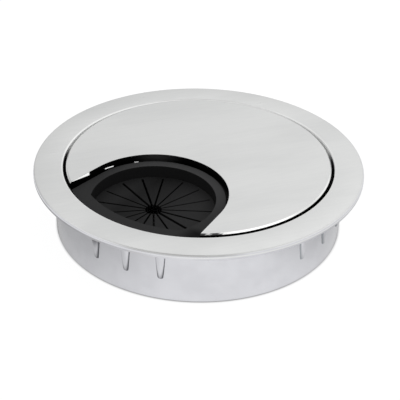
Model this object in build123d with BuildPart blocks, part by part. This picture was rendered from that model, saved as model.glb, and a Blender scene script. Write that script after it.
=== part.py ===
"""Round desk cable grommet: a cast housing, a drop-in cover with a cable cut-out, and a slit insert.

Millimetres. The origin is on the axis at the foot of the barrel, +Z is up, the cut-out faces -Y.
"""
import os
from math import atan, cos, degrees, radians, sin

from build123d import *

os.makedirs("parts", exist_ok=True)

# Housing: flange, barrel and the seat that the cover drops into
overall_height = 18.0
barrel_diameter = 79.6
barrel_wall = 1.8
foot_chamfer = 0.4
flange_overhang = 5.2
flange_thickness = 1.5
flange_edge_bevel = 0.6
flange_under_bevel = 0.3
seat_wall = 2.8
seat_edge_bevel = 0.4
seat_depth = 4.0
ledge_width = 2.8
ledge_thickness = 1.5

# Crush ribs: cones that start under the flange, lean into the barrel and end in a low, blunt tip,
# so that they grip the hole in the desk. They stand in two pairs of opposite groups
rib_pair_angles = (0.0, 98.0)
ribs_per_group = 3
rib_pitch_angle = 13.4
rib_length = 10.2
rib_root_radius = 1.5
rib_root_inset = 0.1
rib_tip_radius = 1.0
rib_tip_inset = 0.75
rib_root_lap = 0.2

# Cover: a plate with a short skirt that stands on the ledge of the seat. It is loose in its seat
# and rests there pushed back, a little out of the middle, with the insert that it carries
cover_clearance = 0.7
cover_plate = 2.5
cover_skirt_width = 2.0
cover_edge_bevel = 0.4
cover_rest_x = -0.28
cover_rest_y = 0.41
cover_rest_turn = 0.76

# Cut-out for the cables: a round end with two slightly flaring sides
cut_radius = 19.7
cut_reach = 21.1
cut_flare_angle = 5.5

# Slit insert: collar in the cut-out, plate under the cover, sunken well and slit floor. The soft
# tongues of the floor do not lie evenly, so each slit between two of them has its own width
collar_gap = 0.8
collar_drop = 1.8
rim_width = 2.5
insert_band = 4.0
insert_clearance = 0.3
well_clearance = 0.6
well_wall = 1.0
well_depth = 3.6
floor_thickness = 1.2
slit_turn = 10.7
slit_widths = (
    0.65, 0.45, 0.4, 0.4, 0.45, 0.5, 0.6, 0.65, 0.45,
    0.55, 0.45, 0.4, 0.45, 0.5, 0.5, 0.5, 0.8,
)
slit_margin = 0.7
slit_hub_radius = 2.2

# Pegs cast under the cover and staked over the insert's plate
peg_diameter = 2.0
peg_hole_clearance = 0.15
peg_head_diameter = 3.2
peg_head_height = 0.6
peg_side_angles = (10.0, 90.0, 170.0)

# Heights and radii that follow from the sizes above
flange_under = overall_height - flange_thickness
ledge_top = overall_height - seat_depth
ledge_under = ledge_top - ledge_thickness
barrel_radius = barrel_diameter / 2
flange_radius = barrel_radius + flange_overhang
bore_radius = barrel_radius - barrel_wall
seat_radius = barrel_radius - seat_wall
ledge_radius = seat_radius - ledge_width
cover_radius = seat_radius - cover_clearance
cover_under = overall_height - cover_plate
skirt_inner_radius = cover_radius - cover_skirt_width
collar_top = overall_height - collar_drop
collar_radius = cut_radius - collar_gap
well_radius = collar_radius - rim_width
well_near_radius = ledge_radius - well_clearance - well_wall
floor_top = collar_top - well_depth
floor_under = floor_top - floor_thickness
peg_ring_radius = cut_radius + insert_band / 2
cut_centre = (0, -cut_reach)
cover_rest = Location((cover_rest_x, cover_rest_y, 0), (0, 0, cover_rest_turn))


def notch(radius):
    """Outline of the cut-out with its round end at this radius, run out past the cover's edge."""
    flare = radians(cut_flare_angle)
    shoulder_x = radius * cos(flare)
    shoulder_y = radius * sin(flare) - cut_reach
    mouth_y = -flange_radius
    mouth_x = shoulder_x + (shoulder_y - mouth_y) * sin(flare) / cos(flare)
    with BuildSketch() as outline:
        with BuildLine():
            ThreePointArc((-shoulder_x, shoulder_y), (0, radius - cut_reach), (shoulder_x, shoulder_y))
            Polyline((shoulder_x, shoulder_y), (mouth_x, mouth_y), (-mouth_x, mouth_y), (-shoulder_x, shoulder_y))
        make_face()
    return outline.sketch


def peg_places():
    """Places of the pegs around the round end of the cut-out."""
    return [
        (peg_ring_radius * cos(radians(angle)), peg_ring_radius * sin(radians(angle)) - cut_reach)
        for angle in peg_side_angles
    ]


# Housing
with BuildPart() as housing:
    with BuildSketch(Plane.YZ) as section:
        with BuildLine():
            Polyline(
                (bore_radius, 0),
                (barrel_radius, 0),
                (barrel_radius, flange_under),
                (flange_radius, flange_under),
                (flange_radius, overall_height),
                (seat_radius, overall_height),
                (seat_radius, ledge_top),
                (ledge_radius, ledge_top),
                (ledge_radius, ledge_under),
                (bore_radius, ledge_under),
                close=True,
            )
        make_face()
        chamfer(section.vertices().group_by(Axis.X)[-1].sort_by(Axis.Y)[-1], flange_edge_bevel)
        chamfer(section.vertices().group_by(Axis.X)[-1].sort_by(Axis.Y)[0], flange_under_bevel)
        chamfer(section.vertices().group_by(Axis.Y)[-1].sort_by(Axis.X)[0], seat_edge_bevel)
        chamfer(section.vertices().group_by(Axis.Y)[0].sort_by(Axis.X)[-1], foot_chamfer)
    revolve(axis=Axis.Z)

    rib_span = rib_pitch_angle * (ribs_per_group - 1)
    rib_root_place = barrel_radius - rib_root_inset
    rib_lean = degrees(atan((rib_tip_inset - rib_root_inset) / rib_length))
    for group_angle in (angle + turn for angle in rib_pair_angles for turn in (0, 180)):
        first_angle = group_angle - rib_span / 2
        with Locations((0, 0, flange_under + rib_root_lap)):
            with PolarLocations(rib_root_place, ribs_per_group, first_angle, rib_span, endpoint=True):
                with Locations(Location((0, 0, 0), (0, rib_lean, 0))):
                    Cone(
                        rib_tip_radius,
                        rib_root_radius,
                        rib_length + rib_root_lap,
                        rotation=(0, 0, 180),
                        align=(Align.CENTER, Align.CENTER, Align.MAX),
                    )
housing.part.label = "housing"
export_step(housing.part, "parts/housing.step")


# Cover
with BuildPart() as cover:
    with BuildSketch(Plane.XY.offset(ledge_top)):
        Circle(cover_radius)
    extrude(amount=seat_depth)
    chamfer(cover.edges().group_by(Axis.Z)[-1], cover_edge_bevel)
    with BuildSketch(Plane.XY.offset(ledge_top)):
        Circle(skirt_inner_radius)
    extrude(amount=cover_under - ledge_top, mode=Mode.SUBTRACT)
    with BuildSketch(Plane.XY.offset(ledge_top)):
        add(notch(cut_radius))
    extrude(amount=seat_depth, mode=Mode.SUBTRACT)
    with BuildSketch(Plane.XY.offset(ledge_top)):
        with Locations(*peg_places()):
            Circle(peg_diameter / 2)
    extrude(amount=cover_under - ledge_top)
    with BuildSketch(Plane.XY.offset(ledge_top)):
        with Locations(*peg_places()):
            Circle(peg_head_diameter / 2)
    extrude(amount=-peg_head_height)
cover.part.label = "cover"
export_step(cover.part.moved(cover_rest), "parts/cover.step")


# Slit insert
with BuildPart() as slit_insert:
    with BuildSketch(Plane.XY.offset(ledge_top)):
        add(notch(cut_radius + insert_band))
        Circle(skirt_inner_radius - insert_clearance, mode=Mode.INTERSECT)
        with Locations(*peg_places()):
            Circle(peg_diameter / 2 + peg_hole_clearance, mode=Mode.SUBTRACT)
    extrude(amount=cover_under - ledge_top)
    with BuildSketch(Plane.XY.offset(ledge_top)):
        add(notch(collar_radius))
        Circle(cover_radius, mode=Mode.INTERSECT)
    extrude(amount=collar_top - ledge_top)
    with BuildSketch(Plane.XY.offset(floor_under)):
        with Locations(cut_centre):
            Circle(well_radius + well_wall)
        Circle(well_near_radius + well_wall, mode=Mode.INTERSECT)
    extrude(amount=ledge_top - floor_under)
    with BuildSketch(Plane.XY.offset(floor_top)):
        with Locations(cut_centre):
            Circle(well_radius)
        Circle(well_near_radius, mode=Mode.INTERSECT)
    extrude(amount=well_depth, mode=Mode.SUBTRACT)
    with BuildSketch(Plane.XY.offset(floor_under)):
        with Locations(cut_centre):
            Circle(slit_hub_radius)
            for index, slit_width in enumerate(slit_widths):
                slit_angle = slit_turn + index * 360 / len(slit_widths)
                Rectangle(
                    well_radius - slit_margin,
                    slit_width,
                    rotation=slit_angle,
                    align=(Align.MIN, Align.CENTER),
                )
        Circle(well_near_radius - slit_margin, mode=Mode.INTERSECT)
    extrude(amount=floor_thickness, mode=Mode.SUBTRACT)
slit_insert.part.label = "slit_insert"
export_step(slit_insert.part.moved(cover_rest), "parts/slit_insert.step")
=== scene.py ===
# %% [markdown]
# A desk cable grommet, dressed for a studio picture.
# The real one is a round zinc casting that drops into a hole in a desk. A flush cover closes it,
# and a black slit moulding in the cover's cut-out lets the cables through.
# The solids come ready-made from the CAD model. This lesson gives them their finishes, turns the
# housing once more with soft cast edges, and sets up a camera, a floor and light. It works in
# metres in the same frame as the solids.

# %% Load the solids
from math import atan, cos, radians, sin

import bmesh
import bpy
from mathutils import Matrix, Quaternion, Vector


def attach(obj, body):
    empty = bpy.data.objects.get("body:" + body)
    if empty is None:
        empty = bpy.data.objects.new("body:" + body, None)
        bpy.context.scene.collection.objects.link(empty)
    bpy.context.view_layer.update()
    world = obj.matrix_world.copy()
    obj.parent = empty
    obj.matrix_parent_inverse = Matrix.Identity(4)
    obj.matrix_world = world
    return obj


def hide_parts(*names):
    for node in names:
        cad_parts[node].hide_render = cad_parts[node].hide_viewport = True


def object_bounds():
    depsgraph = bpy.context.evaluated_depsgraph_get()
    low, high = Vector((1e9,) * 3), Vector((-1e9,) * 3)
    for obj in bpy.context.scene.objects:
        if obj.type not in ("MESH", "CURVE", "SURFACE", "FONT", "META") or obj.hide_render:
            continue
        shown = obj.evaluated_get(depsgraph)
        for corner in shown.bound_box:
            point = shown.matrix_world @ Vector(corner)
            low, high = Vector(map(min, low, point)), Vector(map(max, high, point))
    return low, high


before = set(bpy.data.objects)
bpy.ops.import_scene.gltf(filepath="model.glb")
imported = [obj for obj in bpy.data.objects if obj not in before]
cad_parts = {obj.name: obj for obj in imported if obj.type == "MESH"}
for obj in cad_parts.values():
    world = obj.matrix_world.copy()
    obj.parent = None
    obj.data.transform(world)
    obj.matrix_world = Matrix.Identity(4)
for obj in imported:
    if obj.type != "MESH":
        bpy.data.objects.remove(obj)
cad_low, cad_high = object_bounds()
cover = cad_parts["cover"]
slit_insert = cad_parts["slit_insert"]
print("solids", sorted(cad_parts), "height", round(cad_high.z - cad_low.z, 4))

# %% [markdown]
# The camera comes first, because every finish is judged from where it stands.
# The picture was taken from a little above and to one side of the cut-out's mouth, from near enough
# for the flange to show some perspective. A direction, a distance and a lens are easier to read and
# to correct than nine numbers of a rotation, so the camera is placed by angles and then rolled.

# %% Camera
VIEW_AZIMUTH = radians(34.3)
VIEW_ELEVATION = radians(32.587)
PICTURE_ROLL = radians(1.116)
CAMERA_PLACE = Vector((0.12759, -0.18613, 0.14917))
LENS_MM = 85.5
SENSOR_MM = 36
NEAREST_SEEN = 0.01


def way_to(azimuth, elevation):
    """Unit vector from the object towards a place in the studio; azimuth 0 is the cut-out's side."""
    return Vector((
        sin(azimuth) * cos(elevation),
        -cos(azimuth) * cos(elevation),
        sin(elevation),
    ))


bpy.ops.object.camera_add(location=CAMERA_PLACE)
camera = bpy.context.object
camera.name = "camera"
camera.rotation_mode = "QUATERNION"
upright = (-way_to(VIEW_AZIMUTH, VIEW_ELEVATION)).to_track_quat("-Z", "Y")
camera.rotation_quaternion = upright @ Quaternion((0, 0, 1), PICTURE_ROLL)
camera.data.lens = LENS_MM
camera.data.sensor_width = SENSOR_MM
camera.data.clip_start = NEAREST_SEEN
bpy.context.scene.camera = camera
print("camera", [round(x, 4) for x in camera.location], "lens", LENS_MM)

# %% [markdown]
# Finishes are networks of shader nodes. Wiring them by hand takes many lines, so one small class
# stands for the output of a node: sums and products of such outputs add Math nodes, and one method
# adds any other kind of node.

# %% A wire between shader nodes
class Wire:
    """One output of a node in a shader tree."""

    def __init__(self, tree, socket=None):
        self.tree = tree
        self.socket = socket

    def node(self, kind, settings=None, inputs=None, output=0):
        """Adds a node, gives it its settings, then fills or links its inputs."""
        made = self.tree.nodes.new(kind)
        for name, value in (settings or {}).items():
            setattr(made, name, value)
        for name, value in (inputs or {}).items():
            if isinstance(value, Wire):
                self.tree.links.new(value.socket, made.inputs[name])
            else:
                made.inputs[name].default_value = value
        return Wire(self.tree, made.outputs[output])

    def math(self, operation, first, second):
        return self.node("ShaderNodeMath", {"operation": operation}, {0: first, 1: second})

    def __add__(self, other):
        return self.math("ADD", self, other)

    def __radd__(self, other):
        return self.math("ADD", other, self)

    def __sub__(self, other):
        return self.math("SUBTRACT", self, other)

    def __rsub__(self, other):
        return self.math("SUBTRACT", other, self)

    def __mul__(self, other):
        return self.math("MULTIPLY", self, other)

    def __rmul__(self, other):
        return self.math("MULTIPLY", other, self)

    def at_least(self, other):
        return self.math("MAXIMUM", self, other)

    def between(self, low, high):
        """Goes smoothly from 0 at low to 1 at high."""
        settings = {"interpolation_type": "SMOOTHSTEP"}
        return self.node("ShaderNodeMapRange", settings, {0: self, 1: low, 2: high, 3: 0.0, 4: 1.0})

    def blend(self, first, second):
        """Mixes two colours, this wire being the share of the second."""
        sides = {0: self, 6: first, 7: second}
        return self.node("ShaderNodeMix", {"data_type": "RGBA"}, sides, output=2)


print("wire operators", [name for name in vars(Wire) if name.startswith("__r")])

# %% [markdown]
# A finish starts as an empty material. Most of what varies on this object varies by place: how high
# a point lies, how far from the axis, or how far out in one direction. A mask is 1 on such a stretch
# and 0 elsewhere. Its borders are soft, mostly over a hair's breadth, because a hard border flickers.

# %% Materials and masks
HAIR = 0.0001


def new_finish(name):
    """An empty material, with a wire to start from and its Principled shader."""
    finish = bpy.data.materials.new(name)
    finish.use_nodes = True
    shader = finish.node_tree.nodes["Principled BSDF"]
    return finish, Wire(finish.node_tree), shader


def feed(shader, name, value):
    """Links a wire to a socket of the shader, or sets a constant on it."""
    if isinstance(value, Wire):
        value.tree.links.new(value.socket, shader.inputs[name])
    else:
        shader.inputs[name].default_value = value


def split(vector):
    """The three parts of a vector."""
    return [vector.node("ShaderNodeSeparateXYZ", inputs={0: vector}, output=name) for name in "XYZ"]


def place_on(start):
    """Where a point of a piece lies, in the piece's own frame."""
    return start.node("ShaderNodeTexCoord", output="Object")


def reach_from(x, y, middle=(0.0, 0.0)):
    """How far a point lies from an upright axis."""
    flat = x.node("ShaderNodeCombineXYZ", inputs={0: x - middle[0], 1: y - middle[1], 2: 0.0})
    return flat.node("ShaderNodeVectorMath", {"operation": "LENGTH"}, {0: flat}, output="Value")


def towards(x, y, azimuth):
    """How far a point lies out from the axis in one direction; azimuth 0 is the cut-out's side."""
    return sin(azimuth) * x - cos(azimuth) * y


def window(wire, low, high, soft):
    """1 from low to high, with soft ends."""
    return wire.between(low - soft, low) * (1 - wire.between(high, high + soft))


print("borders are soft over", HAIR, "m")

# %% [markdown]
# The cover and the flange have a satin plated finish: a light, even grey with faint straight brush
# marks and broad, soft streaks. A metal takes its colour in Base Color and its softness in Roughness.
# The brush marks are a noise that is stretched along one direction, so that it reads as fine lines,
# and a second, much larger noise gives the streaks. Both are made by one helper.

# %% Noises of the metal
BRUSH_ANGLE = radians(55)
LINE_WAVES = (120, 1600, 900)
LINE_DETAIL = 3.0
LINE_SPAN = (0.3, 0.7)
LINE_SHARE = 0.3
STREAK_WAVES = (22, 80, 40)
STREAK_DETAIL = 4.0
STREAK_SPAN = (0.35, 0.65)


def stretched_noise(start, place, waves, detail):
    """A noise along the brush marks, with so many waves per metre along, across and up."""
    lengths = tuple(1 / count for count in waves)
    turned = {"Vector": place, "Rotation": (0, 0, BRUSH_ANGLE), "Scale": lengths}
    along = start.node("ShaderNodeMapping", {"vector_type": "TEXTURE"}, turned)
    return start.node("ShaderNodeTexNoise", inputs={"Vector": along, "Scale": 1.0, "Detail": detail})


def satin_tone(start, place):
    """The share of the lighter grey, and the fine lines alone."""
    lines = stretched_noise(start, place, LINE_WAVES, LINE_DETAIL)
    streaks = stretched_noise(start, place, STREAK_WAVES, STREAK_DETAIL)
    broad = (1 - LINE_SHARE) * streaks.between(*STREAK_SPAN)
    return LINE_SHARE * lines.between(*LINE_SPAN) + broad, lines


print("brush lines per metre", LINE_WAVES, "streaks per metre", STREAK_WAVES)

# %% [markdown]
# On the cover, the top is satin and its round outer bevel is turned bright. The wall of the cut-out
# and the outer wall are painted almost black, a painted shade in their narrow gaps, except at the
# back, where the loose cover rests against its seat and both walls are painted pale, a painted
# highlight. Next to the cut-out's mouth the bevel is painted dark in broken streaks, a painted dark
# reflection.
# On the flat left side a wedge is painted bright, and so are two short dashes in the wall next to it:
# these are painted glints. They are thinner than a hair, so they are not cut into the mesh; instead
# their shading normal is leant over towards the lamp.

# %% Painted marks on the cover
DARK_STREAK_X = (0.0180, 0.0246, 0.0006)
DARK_STREAK_END_Y = (-0.0236, -0.0226)
DARK_STREAK_GAPS = (0.34, 0.48)
DARK_STREAK_DEPTH = 0.95
FLAT_SIDE_X = (-0.0197, -0.0195)
FLAT_SIDE_Y = (-0.0230, -0.0224)
WEDGE_END_Y = -0.023
WEDGE_SLOPE = 0.125
WEDGE_FOOT = (0.0170, 0.0171)
DASH_SPANS_Y = ((-0.0168, -0.0144, 0.0004), (-0.0086, -0.0080, 0.0003))
DASH_SIDE_X = (-0.0125, -0.0115)
DASH_MIDDLE_Y = -0.0155
DASH_SLOPE = 0.06
DASH_HEIGHTS = (0.0162, 0.0164, HAIR)
GLINT_LEAN_TO_LAMP = (0.614, -0.297, 0.731, 1)


def painted_glint_marks(x, y, z):
    """1 on the painted glints: the wedge on the flat side, and the two dashes beside it."""
    flat_side = (1 - x.between(*FLAT_SIDE_X)) * (1 - y.between(*FLAT_SIDE_Y))
    wedge = flat_side * (z + WEDGE_SLOPE * (y - WEDGE_END_Y)).between(*WEDGE_FOOT)
    first_dash, second_dash = (window(y, *span) for span in DASH_SPANS_Y)
    dash_level = z + DASH_SLOPE * (y - DASH_MIDDLE_Y)
    glint_dashes = (first_dash + second_dash) * window(dash_level, *DASH_HEIGHTS) * (1 - x.between(*DASH_SIDE_X))
    return wedge.at_least(glint_dashes)


print("painted_glint_dashes", len(DASH_SPANS_Y))

# %% [markdown]
# Now the cover's finish as a whole. The height and the distance from the middle tell the top, the
# bevel and the walls apart. The cover lies a little out of the middle of its seat, so its bevel is
# measured from its own middle.

# %% Cover
COVER_TOP = cad_high.z
COVER_MIDDLE = (-0.00028, 0.00041)
COVER_RADIUS = 0.0363
COVER_BEVEL = 0.0004
BEVEL_INNER = COVER_RADIUS - COVER_BEVEL
BEVEL_FOOT = COVER_TOP - COVER_BEVEL
REST_AZIMUTH = radians(214)
REST_REACH = (0.001, 0.008)
SATIN_LIGHT = (0.709, 0.714, 0.709, 1)
SATIN_DEEP = (0.649, 0.655, 0.652, 1)
PAINTED_SHADE_DARK = (0.012, 0.012, 0.013, 1)
BRIGHT_EDGE = (0.820, 0.822, 0.816, 1)
PAINTED_PALE_HIGHLIGHT = (0.840, 0.845, 0.840, 1)
PAINTED_PALE_DULL = 0.9
SATIN_ROUGHNESS = 0.28
LINE_ROUGHNESS = 0.10
BRIGHT_POLISH = 0.18


def cover_metal(name):
    finish, start, shader = new_finish(name)
    place = place_on(start)
    x, y, z = split(place)
    reach = reach_from(x, y, COVER_MIDDLE)
    tone, lines = satin_tone(start, place)
    top = z.between(COVER_TOP - 0.8 * HAIR, COVER_TOP - 0.2 * HAIR)
    on_rim = reach.between(BEVEL_INNER - HAIR, BEVEL_INNER)
    bevel = on_rim * z.between(BEVEL_FOOT - 0.3 * HAIR, BEVEL_FOOT)
    # At the back the walls are painted pale and less metallic: a painted highlight in the gap.
    painted_pale_back = towards(x, y, REST_AZIMUTH).between(*REST_REACH) * (1 - top.at_least(bevel))
    # Next to the mouth the bevel is painted dark in broken streaks: a painted dark reflection.
    painted_dark_streaks = bevel * window(x, *DARK_STREAK_X) * (1 - y.between(*DARK_STREAK_END_Y))
    bevel_with_dark_streaks = bevel - DARK_STREAK_DEPTH * painted_dark_streaks * lines.between(*DARK_STREAK_GAPS)
    # The wedge and the two dashes are painted glints: bright, smoother metal with a normal leant to the
    # lamp.
    painted_glint = painted_glint_marks(x, y, z) * (1 - top) * (1 - on_rim)
    # The walls are painted almost black, a painted shade in their gaps.
    walls = bevel_with_dark_streaks.at_least(painted_glint).blend(PAINTED_SHADE_DARK, BRIGHT_EDGE)
    finished = top.blend(walls, tone.blend(SATIN_DEEP, SATIN_LIGHT))
    polished = bevel.at_least(painted_glint) * (1 - top)
    feed(shader, "Base Color", painted_pale_back.blend(finished, PAINTED_PALE_HIGHLIGHT))
    feed(shader, "Metallic", 1.0 - PAINTED_PALE_DULL * painted_pale_back)
    feed(shader, "Roughness", SATIN_ROUGHNESS + LINE_ROUGHNESS * lines - BRIGHT_POLISH * polished)
    true_side = start.node("ShaderNodeNewGeometry", output="Normal")
    feed(shader, "Normal", painted_glint.blend(true_side, GLINT_LEAN_TO_LAMP))
    return finish


cover.data.materials[0] = cover_metal("satin_cover")
print("satin on", cover.name)

# %% [markdown]
# The slit insert is a soft black moulding with a matt skin. Rubber is never quite black: its rim
# shows a dark charcoal with a fine, even grain, so a small noise moves the colour and the bump. Hands
# and dust have greyed the rim. At the closed end the rim is painted lighter, a painted light where
# the cover's wall shades it, and its front right corner is painted darker, a painted shade. The
# sunken floor's tongues have a little dust and are painted lighter towards the right and at their
# left end, a painted light. The walls have a trace of dust, and the insides of the slits have stayed
# black.

# %% Black moulding
WELL_FLOOR = 0.0126
RIM_TOP = 0.0162
CLOSED_END_Y = (-0.0240, -0.0030)
CORNER_SHADE_X = (0.0140, 0.0185)
CORNER_SHADE_Y = (-0.0275, -0.0245)
FLOOR_SPAN_X = (-0.0106, 0.0106)
LEFT_END_X = (-0.0115, -0.0070)
RIM_DUST = 0.22
RIM_GRAIN = 0.10
CLOSED_END_PAINTED_LIGHT = 0.26
TONGUE_DUST = 0.05
TONGUE_GRAIN = 0.06
RIGHT_PAINTED_LIGHT = 0.16
LEFT_END_PAINTED_LIGHT = 0.10
WALL_DUST = 0.075
SKIN_DARK = (0.006, 0.006, 0.006, 1)
SKIN_GREY = (0.099, 0.099, 0.101, 1)
SKIN_ROUGHNESS = 0.55
SKIN_GLOSS = 0.04
GRAIN_WAVES = 2500.0
GRAIN_DETAIL = 2.0
GRAIN_ROUGHNESS = 0.15
GRAIN_DEPTH = 0.15


def moulding_dust_and_light(grain, x, y, z):
    """Share of the grey on the rim, the floor's tongues and the well's walls: dust, with painted light
    at the closed end and on the tongues, and painted shade in a corner.
    """
    rim = z.between(RIM_TOP - 1.5 * HAIR, RIM_TOP - 0.5 * HAIR)
    # The closed end is painted lighter: a painted light where the cover's wall shades the rim.
    rim_dust_and_light = RIM_DUST + RIM_GRAIN * grain + CLOSED_END_PAINTED_LIGHT * y.between(*CLOSED_END_Y)
    # The rim's front right corner is painted darker: a painted shade.
    painted_corner_shade = x.between(*CORNER_SHADE_X) * (1 - y.between(*CORNER_SHADE_Y))
    tongues = window(z, WELL_FLOOR - 0.5 * HAIR, WELL_FLOOR + 0.5 * HAIR, HAIR)
    # The tongues are painted lighter towards the right and at the left end: a painted light.
    painted_light_right = RIGHT_PAINTED_LIGHT * x.between(*FLOOR_SPAN_X)
    painted_light_left_end = LEFT_END_PAINTED_LIGHT * (1 - x.between(*LEFT_END_X))
    tongue_dust_and_light = TONGUE_DUST + TONGUE_GRAIN * grain + painted_light_right + painted_light_left_end
    walls = window(z, WELL_FLOOR + 2 * HAIR, RIM_TOP - 2 * HAIR, HAIR)
    return rim * rim_dust_and_light * (1 - painted_corner_shade) + tongues * tongue_dust_and_light + WALL_DUST * walls


def black_moulding(name):
    finish, start, shader = new_finish(name)
    place = place_on(start)
    grained = {"Vector": place, "Scale": GRAIN_WAVES, "Detail": GRAIN_DETAIL}
    grain = start.node("ShaderNodeTexNoise", inputs=grained)
    dust_and_light = moulding_dust_and_light(grain, *split(place))
    feed(shader, "Base Color", dust_and_light.blend(SKIN_DARK, SKIN_GREY))
    feed(shader, "Roughness", SKIN_ROUGHNESS + GRAIN_ROUGHNESS * grain)
    feed(shader, "Specular IOR Level", SKIN_GLOSS)
    raised = {"Strength": GRAIN_DEPTH, "Distance": HAIR, "Height": grain}
    feed(shader, "Normal", start.node("ShaderNodeBump", inputs=raised))
    return finish


slit_insert.data.materials[0] = black_moulding("black_moulding")
print("moulding on", slit_insert.name)

# %% [markdown]
# The housing is a casting that was tumbled before it was plated, so its edges are soft, and each
# catches a thin line of light and a thin dark line. A flat bevel cannot do that, so the housing is
# made again here at the same sizes. It could be spun from a drawn section. Here a circle is drawn at
# the foot and extruded ring by ring around the section, as on a potter's wheel, until it meets
# itself.

# %% Housing rings
RING_POINTS = 240
DOUBLES_WITHIN = 1e-6
FLANGE_TOP = 0.0180
FLANGE_UNDER = 0.0165
LEDGE_TOP = 0.0140
LEDGE_UNDER = 0.0125
FLANGE_RADIUS = 0.0450
BARREL_RADIUS = 0.0398
BORE_RADIUS = 0.0380
SEAT_RADIUS = 0.0370
LEDGE_RADIUS = 0.0342
SECTION = [
    (BORE_RADIUS, 0.0),
    (BARREL_RADIUS, 0.0),
    (BARREL_RADIUS, FLANGE_UNDER),
    (FLANGE_RADIUS, FLANGE_UNDER),
    (FLANGE_RADIUS, FLANGE_TOP),
    (SEAT_RADIUS, FLANGE_TOP),
    (SEAT_RADIUS, LEDGE_TOP),
    (LEDGE_RADIUS, LEDGE_TOP),
    (LEDGE_RADIUS, LEDGE_UNDER),
    (BORE_RADIUS, LEDGE_UNDER),
]

bpy.ops.object.select_all(action="DESELECT")
bpy.ops.mesh.primitive_circle_add(vertices=RING_POINTS, radius=BORE_RADIUS, location=(0, 0, 0))
casting = bpy.context.object
casting.name = "housing_cast"
bpy.ops.object.mode_set(mode="EDIT")
bpy.ops.mesh.select_all(action="SELECT")
for (radius, height), (next_radius, next_height) in zip(SECTION, SECTION[1:] + SECTION[:1]):
    step_up = {"value": (0, 0, next_height - height)}
    bpy.ops.mesh.extrude_region_move(TRANSFORM_OT_translate=step_up)
    growth = next_radius / radius
    bpy.ops.transform.resize(value=(growth, growth, 1))
bpy.ops.mesh.select_all(action="SELECT")
bpy.ops.mesh.remove_doubles(threshold=DOUBLES_WITHIN)
bpy.ops.mesh.normals_make_consistent(inside=False)
print("rings", len(SECTION), "faces", len(bmesh.from_edit_mesh(casting.data).faces))

# %% [markdown]
# Each sharp ring is then selected by its place and bevelled round. Deselecting an edge would also
# deselect its neighbours' corners, so everything is deselected once and only the ring's own edges
# are selected.

# %% Round the rings
RING_SLACK = 2e-5
ROUND_SEGMENTS = 5
ROUNDED_RINGS = {
    (FLANGE_RADIUS, FLANGE_TOP): 0.0006,
    (FLANGE_RADIUS, FLANGE_UNDER): 0.0004,
    (SEAT_RADIUS, FLANGE_TOP): 0.0005,
    (BARREL_RADIUS, 0.0): 0.0004,
    (BORE_RADIUS, 0.0): 0.0003,
    (BARREL_RADIUS, FLANGE_UNDER): 0.0004,
}


def select_ring(piece, radius, height):
    """Selects the edges of a piece in edit mode that lie on one circle around the axis."""
    bpy.ops.mesh.select_all(action="DESELECT")
    mesh = bmesh.from_edit_mesh(piece.data)
    for edge in mesh.edges:
        off_radius = max(abs(vertex.co.xy.length - radius) for vertex in edge.verts)
        off_height = max(abs(vertex.co.z - height) for vertex in edge.verts)
        if max(off_radius, off_height) < RING_SLACK:
            edge.select_set(True)
    bmesh.update_edit_mesh(piece.data)


for (radius, height), rounding in ROUNDED_RINGS.items():
    select_ring(casting, radius, height)
    bpy.ops.mesh.bevel(offset=rounding, segments=ROUND_SEGMENTS, affect="EDGES")
bpy.ops.object.mode_set(mode="OBJECT")
print("rounded rings", len(ROUNDED_RINGS), "vertices", len(casting.data.vertices))

# %% [markdown]
# Under the flange the barrel carries four groups of three tapered ribs, which bite into the desk.
# Each is a tapered pin that leans into the wall and ends in a round tip. One pin is made from a cone,
# and its tip is bevelled round.

# %% One rib
RIB_LENGTH = 0.0102
RIB_ROOT_RADIUS = 0.0015
RIB_ROOT_INSET = 0.0001
RIB_TIP_RADIUS = 0.0010
RIB_TIP_INSET = 0.00075
RIB_TIP_ROUNDING = 0.7 * RIB_TIP_RADIUS
RIB_TIP_SEGMENTS = 6
RIB_LAP = 0.0002
RIB_POINTS = 40

rib_lean = atan((RIB_TIP_INSET - RIB_ROOT_INSET) / RIB_LENGTH)
rib_root = Vector((BARREL_RADIUS - RIB_ROOT_INSET, 0, FLANGE_UNDER + RIB_LAP))
rib_axis = Vector((-sin(rib_lean), 0, -cos(rib_lean)))
bpy.ops.object.select_all(action="DESELECT")
bpy.ops.mesh.primitive_cone_add(
    vertices=RIB_POINTS,
    radius1=RIB_TIP_RADIUS,
    radius2=RIB_ROOT_RADIUS,
    depth=RIB_LENGTH + RIB_LAP,
    location=rib_root + rib_axis * (RIB_LENGTH + RIB_LAP) / 2,
    rotation=(0, rib_lean, 0),
)
first_rib = bpy.context.object
bpy.ops.object.mode_set(mode="EDIT")
bpy.ops.mesh.select_all(action="DESELECT")
rib_mesh = bmesh.from_edit_mesh(first_rib.data)
rib_foot = min(vertex.co.z for vertex in rib_mesh.verts)
for edge in rib_mesh.edges:
    if all(vertex.co.z < rib_foot + RING_SLACK for vertex in edge.verts):
        edge.select_set(True)
bmesh.update_edit_mesh(first_rib.data)
bpy.ops.mesh.bevel(offset=RIB_TIP_ROUNDING, segments=RIB_TIP_SEGMENTS, affect="EDGES")
bpy.ops.object.mode_set(mode="OBJECT")
bpy.ops.object.transform_apply(location=True, rotation=True, scale=True)
print("one rib leans", round(rib_lean, 4))

# %% [markdown]
# Copies of the rib are turned to their places. Their inner halves lie inside the wall, so they can
# be joined with the casting as they are, once the ribs have a finish of their own.

# %% All ribs
RIB_GROUPS = (0, 180, 98, 278)
RIB_STEPS = (-13.4, 0, 13.4)
RIB_ANGLES = [radians(group + step) for group in RIB_GROUPS for step in RIB_STEPS]

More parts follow.
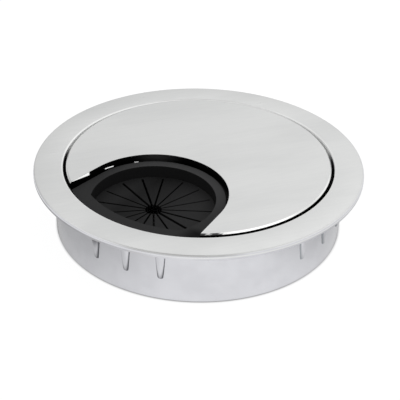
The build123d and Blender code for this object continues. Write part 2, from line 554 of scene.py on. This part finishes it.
ribs = []
for angle in RIB_ANGLES:
    bpy.ops.object.select_all(action="DESELECT")
    first_rib.select_set(True)
    bpy.context.view_layer.objects.active = first_rib
    bpy.ops.object.duplicate(linked=False)
    rib = bpy.context.object
    rib.rotation_euler.z = angle
    bpy.ops.object.transform_apply(location=False, rotation=True, scale=False)
    ribs.append(rib)
bpy.data.objects.remove(first_rib)
print("ribs", len(ribs))

# %% [markdown]
# The casting has three finishes. The flange's top is satin like the cover. The barrel and the edge
# are plated smooth, in a slightly cooler grey with faint clouds from the mould. Inside, and down the
# seat's wall into the gap, the casting is painted almost black and dull, a painted shade. The smooth
# plating comes first, with warm patches between the front ribs, which are painted reflections.

# %% Smooth plating
SMOOTH_LIGHT = (0.734, 0.737, 0.768, 1)
SMOOTH_DEEP = (0.680, 0.682, 0.713, 1)
CLOUD_WAVES = 170.0
CLOUD_DETAIL = 3.0
CLOUD_SPAN = (0.3, 0.7)
WARM_REFLECTION = (0.700, 0.655, 0.640, 1)
WARM_REFLECTION_SHARE = 0.6
WARM_REFLECTION_SPANS_X = ((-0.0006, 0.0022, 0.0010), (0.0104, 0.0130, 0.0010))
WARM_REFLECTION_HEIGHTS = (0.0135, 0.0160, 0.0015)
WARM_REFLECTION_END_Y = (-0.034, -0.030)


def smooth_tone(start, place):
    """Clouds of the plated barrel, from 0 to 1."""
    clouded = {"Vector": place, "Scale": CLOUD_WAVES, "Detail": CLOUD_DETAIL}
    return start.node("ShaderNodeTexNoise", inputs=clouded).between(*CLOUD_SPAN)


def painted_warm_reflections(x, y, z):
    """Share of the warm tint between the front ribs, a painted reflection."""
    first_patch, second_patch = (window(x, *span) for span in WARM_REFLECTION_SPANS_X)
    high = window(z, *WARM_REFLECTION_HEIGHTS)
    return WARM_REFLECTION_SHARE * (first_patch + second_patch) * high * (1 - y.between(*WARM_REFLECTION_END_Y))


print("painted_warm_reflection_patches", len(WARM_REFLECTION_SPANS_X))

# %% [markdown]
# Use has left some marks on the flange, and others are painted light. The edge of the seat is bright,
# and duller at the back where the cover rubs it. At the front of the flange's rim a thin dark line is
# a painted dark reflection, with a bright one below it, a painted highlight, that runs on to the right,
# where hands have dulled the rim. All of these follow rings, so a height and a distance from the axis
# find them.

# %% Wear and painted lines on the flange
HANDLED_ALONG = (-0.016, 0.004)
DARK_LINE_ALONG = (-0.030, -0.004, 0.011)
PAINTED_BRIGHT_LINE_ALONG = (-0.036, 0.0)


def seat_masks(reach, z):
    """1 on the wall of the seat, and 1 on the edge above it."""
    wall_heights = window(z, LEDGE_TOP - 2 * HAIR, FLANGE_TOP - 1.2 * HAIR, HAIR)
    wall = wall_heights * (1 - reach.between(SEAT_RADIUS + 6 * HAIR, SEAT_RADIUS + 8 * HAIR))
    edge_heights = z.between(FLANGE_TOP - 4.8 * HAIR, FLANGE_TOP - 3.2 * HAIR)
    edge = edge_heights * (1 - reach.between(SEAT_RADIUS + 3.5 * HAIR, SEAT_RADIUS + 5.5 * HAIR))
    return wall, edge


def rim_masks(reach, along, z):
    """1 on the handled side of the flange's rim, on its painted dark line and on its painted highlight.
    """
    rim = reach.between(FLANGE_RADIUS - 7 * HAIR, FLANGE_RADIUS - 5 * HAIR)
    handled = rim * along.between(*HANDLED_ALONG)
    thin_heights = window(z, FLANGE_TOP - 3 * HAIR, FLANGE_TOP - 1.2 * HAIR, 0.6 * HAIR)
    painted_dark_line = rim * thin_heights * window(along, *DARK_LINE_ALONG)
    bright_heights = window(z, FLANGE_TOP - 7.5 * HAIR, FLANGE_TOP - 5 * HAIR, HAIR)
    painted_bright_line = rim * bright_heights * along.between(*PAINTED_BRIGHT_LINE_ALONG)
    return handled, painted_dark_line, painted_bright_line


print("painted_lines from", DARK_LINE_ALONG[0], "m along the rim")

# %% [markdown]
# The finish of the casting puts these together, from the smooth plating up to what lies on top of it.
# The inside, painted dark, and brushed places are rougher than plated ones, and at the back the wall
# of the seat, painted pale as a painted highlight, is hardly metal any more.

# %% Casting finish
PAINTED_SHADE_LIGHT = (0.060, 0.060, 0.062, 1)
PAINTED_DARK_LINE_GREY = (0.50, 0.50, 0.50, 1)
DULLED_REACH = (0.006, 0.018)
DULLED_SHARE = 0.4
PLATED_ROUGHNESS = 0.14
CLOUD_ROUGHNESS = 0.06
BRUSHED_ROUGHNESS = 0.10
HANDLED_ROUGHNESS = 0.20
INSIDE_ROUGHNESS = 0.35


def casting_metal(name):
    finish, start, shader = new_finish(name)
    place = place_on(start)
    x, y, z = split(place)
    reach = reach_from(x, y)
    tone, lines = satin_tone(start, place)
    clouds = smooth_tone(start, place)
    top = z.between(FLANGE_TOP - 3 * HAIR, FLANGE_TOP - 0.5 * HAIR)
    seat, seat_edge = seat_masks(reach, z)
    # The rim's dark line and bright line are a painted dark reflection and a painted highlight.
    handled, painted_dark_line, painted_bright_line = rim_masks(reach, x + y, z)
    to_back = towards(x, y, REST_AZIMUTH)
    # At the back the seat's wall is painted pale: a painted highlight in the gap.
    painted_pale_back = seat * (1 - seat_edge) * to_back.between(*REST_REACH)
    dulled = to_back.between(*DULLED_REACH)
    # Inside and down the seat's wall the casting is painted almost black: a painted shade.
    under_flange = 1 - z.between(FLANGE_UNDER + 5 * HAIR, FLANGE_UNDER + 7 * HAIR)
    inside = (1 - reach.between(BARREL_RADIUS - 9 * HAIR, BARREL_RADIUS - 7 * HAIR)) * under_flange

    satin = tone.blend(SATIN_DEEP, SATIN_LIGHT)
    # Warm patches between the front ribs are painted reflections.
    smooth = painted_warm_reflections(x, y, z).blend(clouds.blend(SMOOTH_DEEP, SMOOTH_LIGHT), WARM_REFLECTION)
    with_dark_line = painted_dark_line.blend(top.blend(smooth, satin), PAINTED_DARK_LINE_GREY)
    turned = (DULLED_SHARE * dulled).blend(BRIGHT_EDGE, SATIN_LIGHT)
    plated = seat_edge.blend(painted_bright_line.blend(with_dark_line, PAINTED_PALE_HIGHLIGHT), turned)
    finished = inside.blend(plated, clouds.blend(PAINTED_SHADE_DARK, PAINTED_SHADE_LIGHT))
    feed(shader, "Base Color", painted_pale_back.blend(finished, PAINTED_PALE_HIGHLIGHT))
    feed(shader, "Metallic", 1.0 - PAINTED_PALE_DULL * painted_pale_back)
    brushed = top.at_least(seat).at_least(handled) * (1 - seat_edge * (1 - dulled))
    brush_marks = brushed * (BRUSHED_ROUGHNESS + LINE_ROUGHNESS * lines)
    softness = PLATED_ROUGHNESS + CLOUD_ROUGHNESS * clouds + brush_marks
    feed(shader, "Roughness", softness + HANDLED_ROUGHNESS * handled + INSIDE_ROUGHNESS * inside)
    return finish


casting.data.materials.append(casting_metal("cast_housing"))
print("finish", casting.data.materials[0].name)

# %% [markdown]
# On the ribs, the line where each one meets the barrel is painted dark, a painted shade in the
# crease. On the first of the front ribs this painted shade reaches up the sides to the crest, and on
# the ribs on the right it is painted lighter. Then ribs and casting are joined to one piece, which
# takes the place of the plain housing.

# %% Rib finish and joining
CREASE_SHADE_DARK = (0.10, 0.10, 0.11, 1)
CREASE_SHADE_LIGHT = (0.36, 0.38, 0.40, 1)
LIGHTER_SHADE_X = (0.020, 0.030)
DARK_RIB_X = (-0.0010, 0.0005)
DARK_RIB_Y = (-0.0350, -0.0340)
DARK_RIB_HEIGHTS = (0.0095, 0.0135)
DARK_RIB_SHARE = 0.9
RIB_ROUGHNESS = 0.16
SMOOTH_BELOW = radians(35)


def rib_metal(name):
    finish, start, shader = new_finish(name)
    place = place_on(start)
    x, y, z = split(place)
    reach = reach_from(x, y)
    clouds = smooth_tone(start, place)
    crest = reach.between(BARREL_RADIUS + 8 * HAIR, BARREL_RADIUS + 13 * HAIR)
    # On the first front rib the painted shade reaches up its sides near the flange.
    dark_rib = (1 - x.between(*DARK_RIB_X)) * (1 - y.between(*DARK_RIB_Y))
    dark_rib_sides = z.between(*DARK_RIB_HEIGHTS) * dark_rib * (1 - crest)
    # Where a rib meets the barrel it is painted dark, a painted shade in the crease, lighter on the
    # right.
    proud = reach.between(BARREL_RADIUS + HAIR, BARREL_RADIUS + 5 * HAIR) * (1 - DARK_RIB_SHARE * dark_rib_sides)
    foot = x.between(*LIGHTER_SHADE_X).blend(CREASE_SHADE_DARK, CREASE_SHADE_LIGHT)
    feed(shader, "Base Color", proud.blend(foot, clouds.blend(SMOOTH_DEEP, SMOOTH_LIGHT)))
    feed(shader, "Metallic", 1.0)
    feed(shader, "Roughness", RIB_ROUGHNESS + CLOUD_ROUGHNESS * clouds)
    return finish


rib_finish = rib_metal("cast_ribs")
for rib in ribs:
    rib.data.materials.append(rib_finish)
bpy.ops.object.select_all(action="DESELECT")
for piece in [*ribs, casting]:
    piece.select_set(True)
bpy.context.view_layer.objects.active = casting
bpy.ops.object.join()
bpy.ops.object.shade_smooth_by_angle(angle=SMOOTH_BELOW)
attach(casting, "root")
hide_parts("housing")
print("casting", len(casting.data.polygons), "faces", [slot.name for slot in casting.material_slots])

# %% [markdown]
# The stage is a white floor under a white sky, as in a light tent. What the camera and the metal see
# is white, while the light that falls on the object stays at a plain level. The floor mixes a white
# glow with a plain diffuse white, so that it keeps a faint shadow under the barrel. Inside the barrel
# the glow stops and the floor is dark, so that the slits stay black. For the metal alone the glow is
# weaker on the left and on the right, because the wall of a round barrel gets its shading from what
# stands beside it.

# %% Floor
FLOOR_WIDE = 3.0
FLOOR_GLOW = 0.84
FLOOR_WHITE = (0.97, 0.97, 0.97, 1)
FLOOR_SHADED = (0.20, 0.20, 0.20, 1)
WHITE_LEVEL = 1.08
BARREL_FOOT = (0.0392, 0.0404)
LEFT_SHADE = 0.60
LEFT_SHADE_SPAN = (-0.056, -0.004)
RIGHT_SHADE = 0.45
RIGHT_SHADE_SPAN = (0.020, 0.052)
SHADE_END = (0.062, 0.074)
STAGE_RIGHT = VIEW_AZIMUTH + radians(90)

bpy.ops.object.select_all(action="DESELECT")
bpy.ops.mesh.primitive_plane_add(size=FLOOR_WIDE, location=(0, 0, 0))
floor = bpy.context.object
floor.name = "floor"


def ray_is(start, kind):
    """1 for rays of one kind, such as those that a metal sends on, and 0 for others."""
    return start.node("ShaderNodeLightPath", output=f"Is {kind} Ray")


def seen_directly(start):
    """1 for the camera and for rays that a metal or glass sends on, 0 for light that falls on things."""
    mirrored = ray_is(start, "Glossy").at_least(ray_is(start, "Transmission"))
    return ray_is(start, "Camera").at_least(mirrored)


def floor_finish(name):
    finish, start, shader = new_finish(name)
    x, y = split(place_on(start))[:2]
    reach = reach_from(x, y)
    outside = reach.between(*BARREL_FOOT)
    feed(shader, "Base Color", outside.blend(FLOOR_SHADED, FLOOR_WHITE))
    feed(shader, "Roughness", 1.0)
    feed(shader, "Specular IOR Level", 0.0)
    to_right = towards(x, y, STAGE_RIGHT)
    left_shade = LEFT_SHADE * (1 - to_right.between(*LEFT_SHADE_SPAN))
    right_shade = RIGHT_SHADE * to_right.between(*RIGHT_SHADE_SPAN)
    near_shade = (left_shade + right_shade) * (1 - reach.between(*SHADE_END))
    brightness = WHITE_LEVEL - ray_is(start, "Glossy") * (near_shade + (WHITE_LEVEL - 1))
    glow = start.node("ShaderNodeEmission", inputs={"Color": brightness, "Strength": 1.0})
    plain = Wire(start.tree, shader.outputs[0])
    share = FLOOR_GLOW * seen_directly(start) * outside
    mixed = start.node("ShaderNodeMixShader", inputs={0: share, 1: plain, 2: glow})
    feed(start.tree.nodes["Material Output"], "Surface", mixed)
    return finish


floor.data.materials.append(floor_finish("white_floor"))
print("floor", FLOOR_WIDE, "m wide")

# %% [markdown]
# The sky is white too. In the same way as on the floor, only the sky that the metal mirrors is
# uneven: it brightens with height, is dim right overhead, and behind the object it is brighter
# towards the lamp's side.

# %% Sky
SKY_LEVEL = 0.80
SKY_SLOPE = 0.32
BEHIND_SPAN = (0.20, 0.60)
SKY_LIFT = 0.30
LIFT_SPAN = (0.25, 0.85)
ZENITH_DIM = 0.55
ZENITH_SPAN = (0.80, 0.95)
STAGE_BACK = VIEW_AZIMUTH + radians(180)

world = bpy.data.worlds.new("white_sky")
bpy.context.scene.world = world
world.use_nodes = True
sky = Wire(world.node_tree)
way_x, way_y, way_up = split(sky.node("ShaderNodeTexCoord", output="Generated"))
behind = towards(way_x, way_y, STAGE_BACK).between(*BEHIND_SPAN)
slope = SKY_SLOPE * behind * towards(way_x, way_y, STAGE_RIGHT)
lift = SKY_LIFT * (way_up.between(*LIFT_SPAN) - 0.5)
uneven = ray_is(sky, "Glossy") * (slope + lift - ZENITH_DIM * way_up.between(*ZENITH_SPAN))
background = world.node_tree.nodes["Background"]
feed(background, "Color", SKY_LEVEL + (1 - SKY_LEVEL) * seen_directly(sky) + uneven)
feed(background, "Strength", 1.0)
print("sky level", SKY_LEVEL)

# %% [markdown]
# One broad lamp stands high on the right of the camera. It lifts the light on the top a little, and
# its reflection draws the white strip on the front of the cover's bevel and of the flange's edge.

# %% Lamp
LAMP_AZIMUTH = VIEW_AZIMUTH + radians(71)
LAMP_ELEVATION = radians(50)
LAMP_POWER = 0.45
LAMP_WIDE = 0.80
LAMP_HIGH = 0.50
LAMP_DISTANCE = 0.95

lamp_way = way_to(LAMP_AZIMUTH, LAMP_ELEVATION)
bpy.ops.object.light_add(type="AREA", location=lamp_way * LAMP_DISTANCE)
lamp = bpy.context.object
lamp.name = "broad_lamp"
lamp.rotation_mode = "QUATERNION"
lamp.rotation_quaternion = (-lamp_way).to_track_quat("-Z", "Y")
lamp.data.shape = "RECTANGLE"
lamp.data.size = LAMP_WIDE
lamp.data.size_y = LAMP_HIGH
lamp.data.energy = LAMP_POWER
print("lamp", LAMP_POWER, "W at", LAMP_DISTANCE, "m")

# %% [markdown]
# Last, the picture's colours are left as they are worked out.

# %% Colours of the picture
bpy.context.scene.view_settings.view_transform = "Standard"
